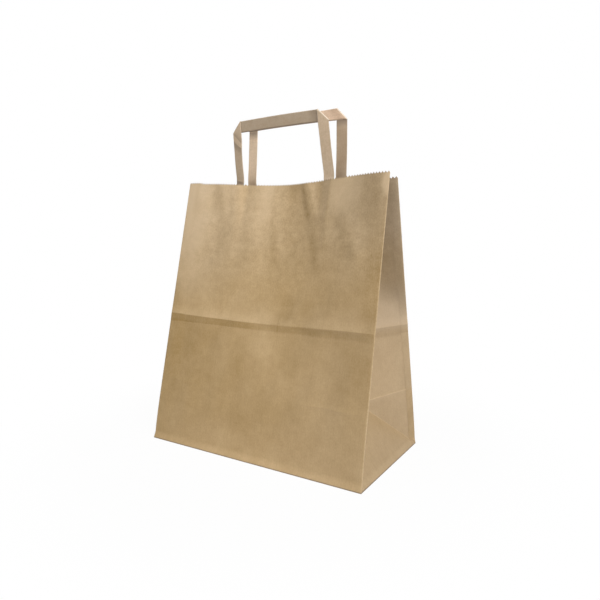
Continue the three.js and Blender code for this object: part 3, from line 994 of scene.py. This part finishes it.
class Grain:
    """Cloudy fibre, ribs and specks of machine-made kraft."""

    def __init__(self, finish, place, along):
        self.cloud = finish.noise(place, 0.03, 2.0) - 0.5
        self.mottle = finish.noise(place, 0.14, 3.0) - 0.5
        self.streak = finish.noise(place, 1.0, 2.0, (0.8, 0.07, 1.0)) - 0.5
        self.fibre = finish.noise(place, 0.9, 2.0, (1.0, 0.55, 1.0)) - 0.5
        wander = finish.noise(place, 0.02, 1.0)
        self.rib = (along * (2 * math.pi / RIB_PITCH) + wander * 14.0).math("SINE")
        self.speck = finish.noise(place, 1.1, 1.0, (1.0, 0.4, 1.0)).ramp(0.68, 0.78)

    def tone(self):
        broad = self.cloud * 0.8 + self.mottle * 0.75
        return broad + self.streak * 0.5 + self.fibre * 1.1 + self.rib * 0.05 + 0.5

    def relief(self):
        return self.streak * 0.5 + self.rib * 0.2 + self.fibre * 0.8

    def roughness(self):
        return self.fibre * 0.2 + 0.43


def bag_wear_and_highlights(finish, place, along, height):
    """Where folds are painted pale, from none to one: partly rubbed wear, partly painted highlights along
    folds and creases.
    """
    ragged = finish.noise(place, 0.35, 2.0).ramp(0.3, 0.65, 0.45, 1.0)
    upright = along.line(RIGHT_GUSSET_START - 0.2, 1.5)
    for fold, strength in ((FRONT_START, 0.6), (BACK_START, 0.7), (LEFT_GUSSET_START, 0.7)):
        upright = upright.greater(along.line(fold, 1.3) * strength)
    for crease in (LEFT_CREASE, RIGHT_CREASE):
        over_foot = height.ramp(HALF_DEPTH - 1, HALF_DEPTH, 0.0, 0.5)
        upright = upright.greater(along.line(crease, 1.0) * over_foot)
    off_crease = off_gusset_crease(along)
    in_gusset = off_crease.ramp(HALF_DEPTH, HALF_DEPTH + 0.5, 1.0, 0.0)
    diagonal = (height + off_crease).line(HALF_DEPTH, 1.3) * 0.55
    level = height.line(HALF_DEPTH, 1.2) * 0.75
    wear = upright.greater(level.greater(diagonal) * in_gusset)
    wear = wear.greater(height.line(RIDGE_TOP, 0.8) * 0.1)
    return wear * ragged


def off_gusset_crease(along):
    """How far round the bag a point is from the nearer gusset's centre crease."""
    return abs(along - RIGHT_CREASE).lesser(abs(along - LEFT_CREASE))


def on_face(along, start, width):
    """One between two folds of the sheet, none outside them."""
    middle = start + width / 2
    return abs(along - middle).ramp(width / 2 - 0.5, width / 2 + 0.5, 1.0, 0.0)


def on_front_panel(along):
    return on_face(along, FRONT_START, PANEL_WIDTH)


def in_gussets(along):
    on_lap = along.ramp(BACK_START - 0.5, BACK_START, 1.0, 0.0)
    on_right = on_face(along, RIGHT_GUSSET_START, GUSSET_DEPTH).greater(on_lap)
    return on_right.greater(on_face(along, LEFT_GUSSET_START, GUSSET_DEPTH))


def base_print_light_and_shade(along, height):
    """The print of the folded base: a dark facet of painted shade, and the paper over it painted pale as
    light.
    """
    x = along - FRONT_MIDDLE
    height = height - x * on_front_panel(along) * PRINT_TILT
    aside = (x - PRINT_PLACE) / PRINT_RUN
    depth = (aside * aside).lesser(1.0) * (PRINT_WIDE - PRINT_NARROW) + PRINT_NARROW
    foot = RIDGE_TOP - depth
    soft = aside.ramp(-0.4, 0.4, 1.0, 4.0)
    over_ridge = height.ramp(RIDGE_TOP - 0.4, RIDGE_TOP + 0.4)
    facet = height.ramp(foot - soft, foot + 0.3) * (1 - over_ridge)
    pale = over_ridge * height.ramp(RIDGE_TOP + 1.5, RIDGE_TOP + 14, 1.0, 0.0)
    weaker_in_middle = 1 - x.line(15.0, 60.0) * 0.5
    palest = x.ramp(-40.0, 30.0, 0.5, 0.28) + x.ramp(HALF_WIDTH - 0.5, HALF_WIDTH + 0.5, 0.0, 0.25)
    return (pale * palest - facet * 0.46) * weaker_in_middle


def gusset_shade(along, height):
    """Gussets are paler over the base's print and darker in the closed upper part, on a slant."""
    off_crease = off_gusset_crease(along).lesser(HALF_DEPTH)
    closed = (height + off_crease * 0.65).ramp(192.0, 222.0, 0.0, 1.55)
    shade = height.ramp(135.0, 150.0, 0.0, 0.35) - closed + height.ramp(215.0, 255.0, 0.0, 0.45)
    shade = shade + back_corner(along, height) * 0.15
    return in_gussets(along) * (shade - height.ramp(60.0, 72.0, 0.2, 0.0))


def back_corner(along, height):
    """One on the right gusset's facet between its back edge, its diagonal and its foot crease."""
    diagonal = RIGHT_GUSSET_START + GUSSET_DEPTH
    return (along + height).ramp(diagonal - 1.5, diagonal + 1.5) * height.ramp(68.0, 71.0, 1.0, 0.0)


def front_shade(along, height):
    """The front's upper part is paler at its left; under the base's print the middle is paler."""
    over_print = (along - FRONT_START).ramp(30.0, 235.0, 0.5, -0.15) * height.ramp(120.0, 200.0)
    middle_paler = abs(along - (FRONT_MIDDLE + 3)).ramp(0.0, 110.0, 0.2, -0.28)
    under_print = middle_paler * height.ramp(55.0, 100.0) * height.ramp(133.0, 139.0, 1.0, 0.0)
    return on_front_panel(along) * (over_print + under_print)


# Painted light and shade of the front's relief, as soft paler and darker fields: X, height, half width, half
# height, change of tone
SHADED_FIELDS = [
    (127.0, 228.0, 20.0, 62.0, -0.5),
    (110.0, 270.0, 16.0, 32.0, -0.5),
    (66.0, 84.0, 28.0, 32.0, 0.22),
    (-118.0, 57.0, 25.0, 26.0, -0.22),
    (-62.0, 213.0, 40.0, 60.0, -0.4),
    (-114.0, 203.0, 24.0, 55.0, 0.3),
    (-52.0, 100.0, 12.0, 40.0, 0.2),
    (-28.0, 106.0, 15.0, 26.0, -0.24),
    (72.0, 228.0, 11.0, 22.0, 0.2),
    (88.0, 195.0, 22.0, 25.0, 0.2),
    (128.0, 157.0, 22.0, 18.0, -0.5),
    (-130.0, 160.0, 18.0, 24.0, -0.36),
    (-4.0, 150.0, 20.0, 20.0, 0.26),
    (24.0, 160.0, 12.0, 18.0, -0.28),
    (53.0, 160.0, 12.0, 14.0, -0.22),
    (-48.0, 158.0, 14.0, 15.0, 0.22),
    (3.0, 122.0, 15.0, 24.0, 0.2),
    (38.0, 115.0, 16.0, 28.0, -0.2),
    (118.0, 110.0, 20.0, 18.0, -0.2),
]
# Patches of the front painted pale, in the same way, with their strength; at its upper left they are a
# painted sheen
PALE_PATCHES = [
    (-130.0, 262.0, 15.0, 70.0, 0.4),
    (-114.0, 262.0, 22.0, 75.0, 0.5),
    (-26.0, 282.0, 12.0, 40.0, 0.3),
    (78.0, 284.0, 26.0, 34.0, 0.4),
    (128.0, 286.0, 8.0, 17.0, 0.6),
    (-128.0, 285.0, 14.0, 32.0, 0.35),
]


def soft_spots(spots, along, height):
    """The sum of soft round spots on the front."""
    total = 0.0
    for x, level, half_width, half_height, strength in spots:
        sideways = (along - (FRONT_MIDDLE + x)) / half_width
        upward = (height - level) / half_height
        total = (sideways * sideways + upward * upward).ramp(0.0, 1.0, strength, 0.0) + total
    return total


# Painted light and shade along the front's pleats and creases, as pale and dark lines: X at the mouth, drift
# to the right per mm down, half width, top and bottom height, change of tone
PLEAT_LIGHT_AND_SHADE = [
    (-90.5, 0.25, 8.0, 300.0, 245.0, -0.25),
    (-72.0, 0.2, 5.0, 300.0, 250.0, -0.32),
    (-60.5, 0.2, 5.0, 305.0, 262.0, 0.3),
    (-50.0, 0.0, 5.0, 300.0, 250.0, -0.3),
    (-27.9, 0.33, 8.0, 258.0, 200.0, -0.28),
    (8.0, 0.0, 14.0, 310.0, 272.0, -0.24),
    (17.5, 0.45, 6.5, 305.0, 245.0, -0.65),
    (30.0, 0.45, 5.0, 305.0, 250.0, 0.4),
    (27.0, 0.3, 8.0, 245.0, 195.0, -0.35),
    (52.5, 0.0, 7.0, 305.0, 245.0, 0.32),
    (89.0, 0.0, 13.0, 310.0, 275.0, -0.28),
    (17.2, 0.0, 1.4, 154.0, 134.0, -0.28),
]


def pleat_light_and_shade(along, height):
    """The sum of the pale and dark lines of painted light and shade along the front's pleats and creases."""
    total = 0.0
    for x, drift, half_width, top, bottom, strength in PLEAT_LIGHT_AND_SHADE:
        middle = (PANEL_HEIGHT - height) * drift + (FRONT_MIDDLE + x)
        half_length = (top - bottom) / 2
        reach = abs(height - (top + bottom) / 2).ramp(half_length / 2, half_length, strength, 0.0)
        total = (along - middle).line(0.0, half_width) * reach + total
    return total


def bag_tone(along, height):
    """The sheet's paler and darker fields: painted light and shade of its panels, gussets, base's print,
    relief and pleats, painted light over the base fold, and a paler band above it.
    """
    off_middle = abs(along - FRONT_MIDDLE)
    # Painted light on the strip under the foot crease; the paper from 12 to 45 mm up is paler, less so
    # towards the sides
    foot = height.ramp(FOOT_CREASE - 2, FOOT_CREASE + 3, 0.3, 0.0)
    over_foot = height.ramp(12.0, 45.0, 0.32, 0.0) * off_middle.ramp(30.0, HALF_WIDTH + 5, 1.0, 0.0)
    fields = front_shade(along, height) + gusset_shade(along, height) + base_print_light_and_shade(along, height)
    spots = soft_spots(SHADED_FIELDS, along, height) + pleat_light_and_shade(along, height)
    return fields + spots + foot + over_foot


def sheen_greyness(along, height):
    """How much greyer than the rest a painted sheen makes the paper; below none it is browner."""
    in_gusset = height.ramp(66.0, 74.0, 0.12, 0.22) + height.ramp(135.0, 150.0, 0.0, 0.18)
    in_gusset = in_gusset - height.ramp(170.0, 200.0, 0.0, 0.1) + height.ramp(215.0, 255.0, 0.0, 0.16)
    in_gusset = in_gusset + back_corner(along, height) * 0.1
    from_left = along - FRONT_START
    at_right = from_left.ramp(130.0, 235.0, 0.0, 0.2) * height.ramp(180.0, 270.0, 0.6, 1.0)
    at_left = from_left.ramp(40.0, 130.0, 0.09, -0.05) * height.ramp(150.0, 180.0)
    on_front = height.ramp(150.0, 250.0, -0.1, 0.0) + at_right + at_left
    return in_gussets(along) * in_gusset + on_front_panel(along) * on_front


def kraft_paper():
    """The bag's sheet: grain, painted light and shade of its panels, print and pleats, a painted sheen,
    rubbed wear and painted highlights on its folds, and painted shade along the base fold and the pinked
    edge.
    """
    finish = Finish("kraft_paper")
    place, along, height = finish.flat_place()
    grain = Grain(finish, place, along)
    more_above = height.ramp(140.0, 250.0, -0.2, 0.55)
    tone = grain.tone() + (grain.mottle + grain.fibre) * more_above + bag_tone(along, height)
    colour = finish.tint(tone, KRAFT_DARK, KRAFT_LIGHT, within=False)
    # Painted sheen greys the gussets and the front's upper part
    colour = finish.tint(sheen_greyness(along, height), colour, KRAFT_SHEEN_GREY, within=False)
    # Pale patches near the mouth; at the front's upper left they are a painted sheen
    colour = finish.tint(soft_spots(PALE_PATCHES, along, height), colour, KRAFT_WEAR_AND_SHEEN)
    colour = finish.tint(grain.speck * SPECK_SHARE, colour, KRAFT_SPECK)
    # Folds painted pale: rubbed wear and painted highlights
    colour = finish.tint(bag_wear_and_highlights(finish, place, along, height) * 0.8, colour, KRAFT_WEAR_AND_SHEEN)
    # Painted shade along the base fold and on the tips of the pinked edge
    base_fold_shade = abs(height - 0.1).ramp(0.4, 1.1, 0.7, 0.0)
    teeth_shade = height.ramp(PANEL_HEIGHT - TOOTH_DEPTH - 0.6, PANEL_HEIGHT - 0.4, 0.0, 0.4)
    colour = finish.tint(base_fold_shade.greater(teeth_shade), colour, FOLD_SHADOW)
    return finish.paper(colour, grain)


def tape_paper(name, tones_and_shade, shades):
    """Folded tape; the colours given are those of its left leg, its strip and its right leg, with painted
    light and shade in them.
    """
    finish = Finish(name)
    place, across_tape, along_tape = finish.flat_place()
    grain = Grain(finish, place, across_tape)
    along_tape = along_tape.math("MODULO", TAPE_TAG)
    past_left = along_tape.ramp(STRIP_START - 0.2, STRIP_START + 0.2)
    past_right = along_tape.ramp(STRIP_END - 0.2, STRIP_END + 0.2)
    # Each part's colour holds painted light and shade besides the tape's own colour
    colour = finish.tint(past_left, tones_and_shade[0], tones_and_shade[1])
    colour = finish.tint(past_right, colour, tones_and_shade[2])
    colour = finish.tint(grain.tone().ramp(0.2, 0.9, 0.0, 0.3), colour, KRAFT_SPECK)
    colour = finish.tint(grain.speck * SPECK_SHARE, colour, KRAFT_SPECK)
    colour = finish.tint(across_tape.line(1.3, 0.4) * 0.35, colour, KRAFT_SPECK)
    in_strip = past_left - past_right
    # Painted shadow of the right leg's fold on the strip's end, and the strip darkened along its lower edge
    under_leg = along_tape.ramp(STRIP_END - 20, STRIP_END - 7, 0.0, shades["under_leg"])
    lower_edge_dark = across_tape.ramp(0.4, 1.2, 0.75, 0.0)
    colour = finish.tint(in_strip * lower_edge_dark.greater(under_leg), colour, FOLD_SHADOW)
    colour = finish.tint(tape_shadows(across_tape, along_tape, shades), colour, FOLD_SHADOW, within=False)
    # Painted highlights along the two corner folds and along the tape's inner edge
    folds = along_tape.line(STRIP_START, 1.1).greater(along_tape.line(STRIP_END, 1.3))
    edge = across_tape.ramp(11.2, 11.9, 0.0, 0.35)
    colour = finish.tint((folds * 0.85).greater(edge), colour, TAPE_HIGHLIGHT)
    return finish.paper(colour, grain)


def tape_shadows(across_tape, along_tape, shades):
    """Painted shade on dark facets at the left corner, under both corners and at the left leg's foot; painted
    light makes the twist paler.
    """
    slanted = along_tape + across_tape * shades["slant"]
    crease = STRIP_START - CORNER_CREASE
    past_crease = slanted.ramp(crease - 0.6, crease)
    corner = slanted.ramp(crease, crease + 8, shades["corner"], 0.0) * past_crease
    left_top = STRIP_START - shades["left_start"]
    past_left = slanted.ramp(left_top, left_top + 1)
    left = slanted.ramp(left_top - 10, left_top, 0.0, shades["left"]) * (1 - past_left)
    right_top = STRIP_END + 7.0
    right = along_tape.ramp(right_top, right_top + 9, shades["right"], 0.0)
    right = right * along_tape.ramp(right_top - 1, right_top)
    foot = (along_tape + across_tape * 0.25).ramp(FOOT_SHADOW_END - 2, FOOT_SHADOW_END, shades["foot"], 0.0)
    in_leg = along_tape.ramp(STRIP_START - 1, STRIP_START, 1.0, 0.0)
    twist = past_left * (1 - past_crease) * shades["twist"]
    return (corner * in_leg + left).greater(right).greater(foot) - twist


def patch_paper():
    finish = Finish("patch_paper")
    place, along = finish.flat_place()[:2]
    grain = Grain(finish, place, along)
    colour = finish.tint(grain.tone(), KRAFT_DARK, KRAFT_LIGHT)
    colour = finish.tint(grain.speck * SPECK_SHARE, colour, KRAFT_SPECK)
    return finish.paper(colour, grain)


WHITE = (1.0, 1.0, 1.0, 1.0)
FLOOR_PALE = (0.9, 0.9, 0.9, 1.0)
FLOOR_REACH = 60.0
WORLD_COLOUR = (0.95, 0.97, 1.0, 1.0)
WORLD_STRENGTH = 0.02


def floor():
    """A plain pale floor; it looks white to the camera, and keeps the bag's shadow."""
    mesh = bpy.data.meshes.new("floor")
    far = FLOOR_REACH
    mesh.from_pydata([(-far, -far, 0), (far, -far, 0), (far, far, 0), (-far, far, 0)], [], [(0, 1, 2, 3)])
    finish = Finish("floor_white")
    seen = seen_directly(finish)
    matte = finish.node("ShaderNodeBsdfDiffuse", sockets={"Color": FLOOR_PALE})
    white = finish.node("ShaderNodeEmission", sockets={"Color": WHITE, "Strength": 1.0})
    spot = finish.node("ShaderNodeTexCoord", output="Object")
    away = finish.node("ShaderNodeVectorMath", {"operation": "LENGTH"}, {0: spot}, output="Value")
    glow = away.ramp(0.16, 0.34, 0.965, 1.0)
    surface = finish.node("ShaderNodeMixShader", sockets={0: seen * glow, 1: matte, 2: white})
    finish.node("ShaderNodeOutputMaterial", sockets={"Surface": surface})
    mesh.materials.append(finish.material)
    plane = bpy.data.objects.new("floor", mesh)
    bpy.context.scene.collection.objects.link(plane)


def seen_directly(finish):
    """One for what the camera sees, also in a mirror or through glass."""
    names = ("Is Camera Ray", "Is Glossy Ray", "Is Transmission Ray")
    camera_ray, glossy_ray, through_ray = [finish.node("ShaderNodeLightPath", output=name) for name in names]
    return camera_ray.greater(glossy_ray).greater(through_ray)


class Surroundings(Finish):
    """The world, made with the same methods as a material."""

    def __init__(self):
        world = bpy.data.worlds.new("studio")
        bpy.context.scene.world = world
        world.use_nodes = True
        self.tree = world.node_tree
        self.tree.nodes.clear()


def studio_world():
    """A faint light from all round; it looks white to the camera."""
    finish = Surroundings()
    light = finish.node("ShaderNodeBackground", sockets={"Color": WORLD_COLOUR, "Strength": WORLD_STRENGTH})
    white = finish.node("ShaderNodeBackground", sockets={"Color": WHITE, "Strength": 1.0})
    surface = finish.node("ShaderNodeMixShader", sockets={0: seen_directly(finish), 1: light, 2: white})
    finish.node("ShaderNodeOutputWorld", sockets={"Surface": surface})


# Square lamps that look at the bag: name, azimuth (0 in front, 90 to the right), elevation and watts
LAMPS = [
    ("key", 55, 30, 21.5),
    ("high", 60, 60, 6.0),
    ("side", 85, 28, 4.0),
    ("fill", -30, 40, 8.0),
    ("back", 205, 12, 9.0),
]
LAMP_TARGET = (0, 0, 0.15)
LAMP_DISTANCE = 1.8
LAMP_SIZE = 0.9
LAMP_COLOUR = (1.0, 0.99, 0.97)


def soft_box(name, azimuth, elevation, watts):
    target = Vector(LAMP_TARGET)
    turn, lift = math.radians(azimuth), math.radians(elevation)
    away = Vector((math.sin(turn) * math.cos(lift), -math.cos(turn) * math.cos(lift), math.sin(lift)))
    lamp = bpy.data.lights.new(name, "AREA")
    lamp.shape = "SQUARE"
    lamp.size = LAMP_SIZE
    lamp.energy = watts
    lamp.color = LAMP_COLOUR
    holder = bpy.data.objects.new(name, lamp)
    holder.location = target + away * LAMP_DISTANCE
    holder.rotation_euler = away.to_track_quat("Z", "Y").to_euler()
    bpy.context.scene.collection.objects.link(holder)


def camera():
    lens = bpy.data.cameras.new("camera")
    lens.sensor_width = 36.0
    lens.lens = lens.sensor_width * CAMERA_FOCAL_SHARE
    holder = bpy.data.objects.new("camera", lens)
    holder.location = Vector(CAMERA_AT) * MILLIMETRE
    holder.rotation_euler = (math.pi / 2 - CAMERA_ELEVATION, 0.0, CAMERA_AZIMUTH)
    bpy.context.scene.collection.objects.link(holder)
    bpy.context.scene.camera = holder


# How each handle has come to hang. For its left leg (-1) and its right leg (1): shift along X, turn about
# its length in degrees, turn of its corner fold, bow, and how far the corner's crease reaches down its
# inner edge. For its strip: bow, and tilt in degrees.
FRONT_HABITS = {
    -1: {"aside": -1.8, "turn": -8.0, "fold_turn": 0.0, "bow": 0.4, "crease_drop": 19.0},
    1: {"aside": -3.2, "turn": 2.0, "fold_turn": 5.0, "bow": -0.3, "crease_drop": 14.0},
    "strip_bow": 0.5,
    "strip_tilt": 6.0,
}
BACK_HABITS = {
    -1: {"aside": 0.8, "turn": 0.0, "fold_turn": 0.0, "bow": 0.2, "crease_drop": 14.0},
    1: {"aside": 2.7, "turn": 6.0, "fold_turn": 6.0, "bow": -0.2, "crease_drop": 14.0},
    "strip_bow": 0.4,
    "strip_tilt": -8.0,
}

bpy.context.scene.view_settings.view_transform = "Standard"
camera()
kraft = kraft_paper()
front_tape = tape_paper("front_tape_paper", FRONT_TAPE_TONES_AND_SHADE, FRONT_SHADES)
back_tape = tape_paper("back_tape_paper", BACK_TAPE_TONES_AND_SHADE, BACK_SHADES)
patch = patch_paper()
bag_sheet(kraft)
base_flap("base_flap_front", front, PAPER, kraft)
base_flap("base_flap_back", back, 0.0, kraft)
front_solid = tape_solid(*Tape(front, FRONT_HABITS).build(), True, 0.0)
back_solid = tape_solid(*Tape(back, BACK_HABITS).build(), False, TAPE_TAG)
make_piece("front_handle_tape", front_solid, front_tape, "front_handle", 35)
make_piece("back_handle_tape", back_solid, back_tape, "back_handle", 35)
patch_sheet("front_patch", front, patch, "front_handle_patch")
patch_sheet("back_patch", back, patch, "back_handle_patch")
floor()
studio_world()
for lamp in LAMPS:
    soft_box(*lamp)
